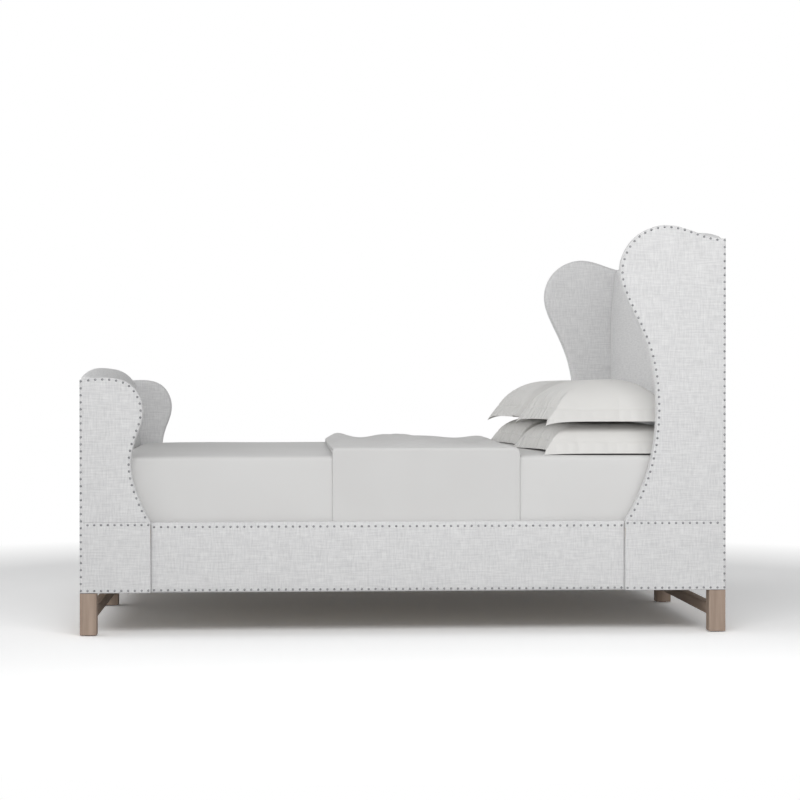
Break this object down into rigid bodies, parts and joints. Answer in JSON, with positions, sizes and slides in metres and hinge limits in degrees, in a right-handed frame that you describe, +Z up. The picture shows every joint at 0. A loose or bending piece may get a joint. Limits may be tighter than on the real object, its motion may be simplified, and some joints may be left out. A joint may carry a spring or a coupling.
{
  "type": "wingback bed",
  "caption": "Upholstered wingback bed with arched headboard and footboard, curved nailhead wings, low oak legs, mattress, folded blanket and pillows.",
  "frame": {"origin": "on the floor under the middle of the bed", "axes": "+X from the footboard to the headboard, +Y across the bed, +Z up"},
  "size_m": [2.24, 2.0812, 1.436],
  "materials": {
    "linen_weave": "pale grey linen basket weave with fine slubs",
    "nail_pewter": "dark pewter nail heads",
    "weathered_oak": "weathered greige oak, matte",
    "plywood": "plywood, unfinished",
    "softwood": "planed softwood, unfinished",
    "zinc_steel": "zinc plated steel",
    "glide_plastic": "black nylon glide",
    "sheet_cotton": "smooth off-white cotton percale",
    "blanket_cotton": "smooth off-white quilted cotton",
    "pillow_cotton": "smooth off-white cotton percale"
  },
  "bodies": {
    "bed_frame": {"beam_hangers": "zinc_steel", "centre_beam": "softwood", "foot_leg_far": "weathered_oak", "foot_leg_middle": "weathered_oak", "foot_leg_near": "weathered_oak", "foot_leg_stretchers": "weathered_oak", "footboard_back_panel": "linen_weave", "footboard_bottom_rail": "softwood", "footboard_nails": "nail_pewter", "footboard_padding": "linen_weave", "footboard_plywood": "plywood", "footboard_posts": "softwood", "footboard_side_panel_far": "linen_weave", "footboard_side_panel_near": "linen_weave", "footboard_top_rail": "softwood", "footboard_wing_board_far": "plywood", "footboard_wing_board_near": "plywood", "footboard_wing_cover_far": "linen_weave", "footboard_wing_cover_near": "linen_weave", "footboard_wing_panel_far": "linen_weave", "footboard_wing_panel_near": "linen_weave", "head_leg_far": "weathered_oak", "head_leg_middle": "weathered_oak", "head_leg_near": "weathered_oak", "head_leg_stretchers": "weathered_oak", "headboard_back_panel": "linen_weave", "headboard_bottom_rail": "softwood", "headboard_nails": "nail_pewter", "headboard_padding": "linen_weave", "headboard_plywood": "plywood", "headboard_posts": "softwood", "headboard_side_panel_far": "linen_weave", "headboard_side_panel_near": "linen_weave", "headboard_top_rail": "softwood", "headboard_wing_board_far": "plywood", "headboard_wing_board_near": "plywood", "headboard_wing_cover_far": "linen_weave", "headboard_wing_cover_near": "linen_weave", "headboard_wing_panel_far": "linen_weave", "headboard_wing_panel_near": "linen_weave", "hook_plates": "zinc_steel", "leg_bolts": "zinc_steel", "leg_glides": "glide_plastic", "rail_board_far": "softwood", "rail_board_near": "softwood", "rail_cover_far": "linen_weave", "rail_cover_near": "linen_weave", "rail_hooks": "zinc_steel", "rail_nails": "nail_pewter", "slat_ledger_far": "softwood", "slat_ledger_near": "softwood", "slats": "softwood"},
    "mattress": {"mattress": "sheet_cotton"},
    "folded_blanket": {"folded_blanket": "blanket_cotton"},
    "lower_pillow_near": {"lower_pillow_near": "pillow_cotton"},
    "upper_pillow_near": {"upper_pillow_near": "pillow_cotton"},
    "lower_pillow_far": {"lower_pillow_far": "pillow_cotton"},
    "upper_pillow_far": {"upper_pillow_far": "pillow_cotton"}
  },
  "joints": [
    {"name": "mattress_lift", "type": "slide", "parent": "bed_frame", "child": "mattress", "axis": [0, 0, 1], "range_m": [0, 0.62]},
    {"name": "blanket_lift", "type": "slide", "parent": "mattress", "child": "folded_blanket", "axis": [0, 0, 1], "range_m": [0, 0.4]},
    {"name": "lower_pillow_near_lift", "type": "slide", "parent": "mattress", "child": "lower_pillow_near", "axis": [0, 0, 1], "range_m": [0, 0.4]},
    {"name": "upper_pillow_near_lift", "type": "slide", "parent": "lower_pillow_near", "child": "upper_pillow_near", "axis": [0, 0, 1], "range_m": [0, 0.35]},
    {"name": "lower_pillow_far_lift", "type": "slide", "parent": "mattress", "child": "lower_pillow_far", "axis": [0, 0, 1], "range_m": [0, 0.4]},
    {"name": "upper_pillow_far_lift", "type": "slide", "parent": "lower_pillow_far", "child": "upper_pillow_far", "axis": [0, 0, 1], "range_m": [0, 0.35]}
  ]
}
